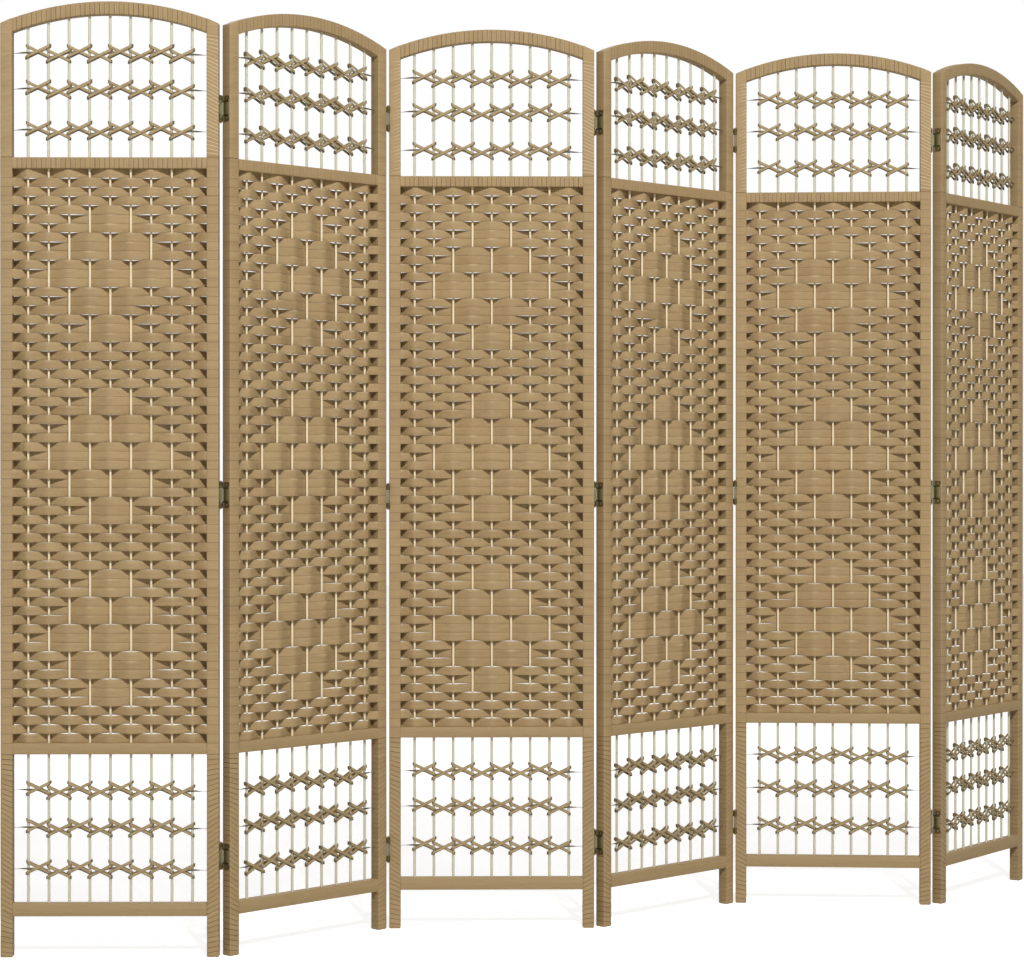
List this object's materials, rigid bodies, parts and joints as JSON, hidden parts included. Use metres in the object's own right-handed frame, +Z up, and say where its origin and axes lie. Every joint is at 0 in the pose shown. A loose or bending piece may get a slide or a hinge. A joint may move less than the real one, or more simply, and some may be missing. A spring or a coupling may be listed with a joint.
{
  "type": "folding screen",
  "caption": "Free-standing folding screen: arched panels of woven natural fibre with crossed lattices above and below, hinged in a zigzag to divide a room.",
  "frame": {"origin": "on the floor, in the middle of the box round the screen as it stands in the picture", "axes": "+X along the row of panels from the first to the sixth, +Y towards the back, +Z up"},
  "size_m": [2.184, 0.2168, 1.7],
  "materials": {
    "frame": "wrapped, matte",
    "rail": "smooth, satin",
    "rod": "peeled, satin",
    "weave": "woven, matte",
    "slat": "split cane, matte",
    "hinge": "antique, dark"
  },
  "bodies": {
    "first_panel": {"first_panel_left_post": "frame", "first_panel_right_post": "frame", "first_panel_arched_rail": "frame", "first_panel_cross_rails": "rail", "first_panel_rods": "rod", "first_panel_woven_infill": "weave", "first_panel_upper_lattice": "slat", "first_panel_lower_lattice": "slat", "first_joint_pinned_leaves": "hinge"},
    "second_panel": {"second_panel_left_post": "frame", "second_panel_right_post": "frame", "second_panel_arched_rail": "frame", "second_panel_cross_rails": "rail", "second_panel_rods": "rod", "second_panel_woven_infill": "weave", "second_panel_upper_lattice": "slat", "second_panel_lower_lattice": "slat", "first_joint_bored_leaves": "hinge", "second_joint_pinned_leaves": "hinge"},
    "third_panel": {"third_panel_left_post": "frame", "third_panel_right_post": "frame", "third_panel_arched_rail": "frame", "third_panel_cross_rails": "rail", "third_panel_rods": "rod", "third_panel_woven_infill": "weave", "third_panel_upper_lattice": "slat", "third_panel_lower_lattice": "slat", "second_joint_bored_leaves": "hinge", "third_joint_pinned_leaves": "hinge"},
    "fourth_panel": {"fourth_panel_left_post": "frame", "fourth_panel_right_post": "frame", "fourth_panel_arched_rail": "frame", "fourth_panel_cross_rails": "rail", "fourth_panel_rods": "rod", "fourth_panel_woven_infill": "weave", "fourth_panel_upper_lattice": "slat", "fourth_panel_lower_lattice": "slat", "third_joint_bored_leaves": "hinge", "fourth_joint_pinned_leaves": "hinge"},
    "fifth_panel": {"fifth_panel_left_post": "frame", "fifth_panel_right_post": "frame", "fifth_panel_arched_rail": "frame", "fifth_panel_cross_rails": "rail", "fifth_panel_rods": "rod", "fifth_panel_woven_infill": "weave", "fifth_panel_upper_lattice": "slat", "fifth_panel_lower_lattice": "slat", "fourth_joint_bored_leaves": "hinge", "fifth_joint_pinned_leaves": "hinge"},
    "sixth_panel": {"sixth_panel_left_post": "frame", "sixth_panel_right_post": "frame", "sixth_panel_arched_rail": "frame", "sixth_panel_cross_rails": "rail", "sixth_panel_rods": "rod", "sixth_panel_woven_infill": "weave", "sixth_panel_upper_lattice": "slat", "sixth_panel_lower_lattice": "slat", "fifth_joint_bored_leaves": "hinge"}
  },
  "joints": [
    {"name": "first_hinge", "type": "hinge", "parent": "first_panel", "child": "second_panel", "pos_m": [-0.72589, -0.04514, 0.825], "axis": [0, 0, 1], "range_deg": [-46.3, 133.7]},
    {"name": "second_hinge", "type": "hinge", "parent": "second_panel", "child": "third_panel", "pos_m": [-0.35504, 0.07985, 0.825], "axis": [0, 0, -1], "range_deg": [-45.9, 134.1]},
    {"name": "third_hinge", "type": "hinge", "parent": "third_panel", "child": "fourth_panel", "pos_m": [0.0143, -0.04953, 0.825], "axis": [0, 0, 1], "range_deg": [-45.2, 134.8]},
    {"name": "fourth_hinge", "type": "hinge", "parent": "fourth_panel", "child": "fifth_panel", "pos_m": [0.38665, 0.07092, 0.825], "axis": [0, 0, -1], "range_deg": [-49.8, 130.2]},
    {"name": "fifth_hinge", "type": "hinge", "parent": "fifth_panel", "child": "sixth_panel", "pos_m": [0.74443, -0.08766, 0.825], "axis": [0, 0, 1], "range_deg": [-58.4, 121.6]}
  ]
}
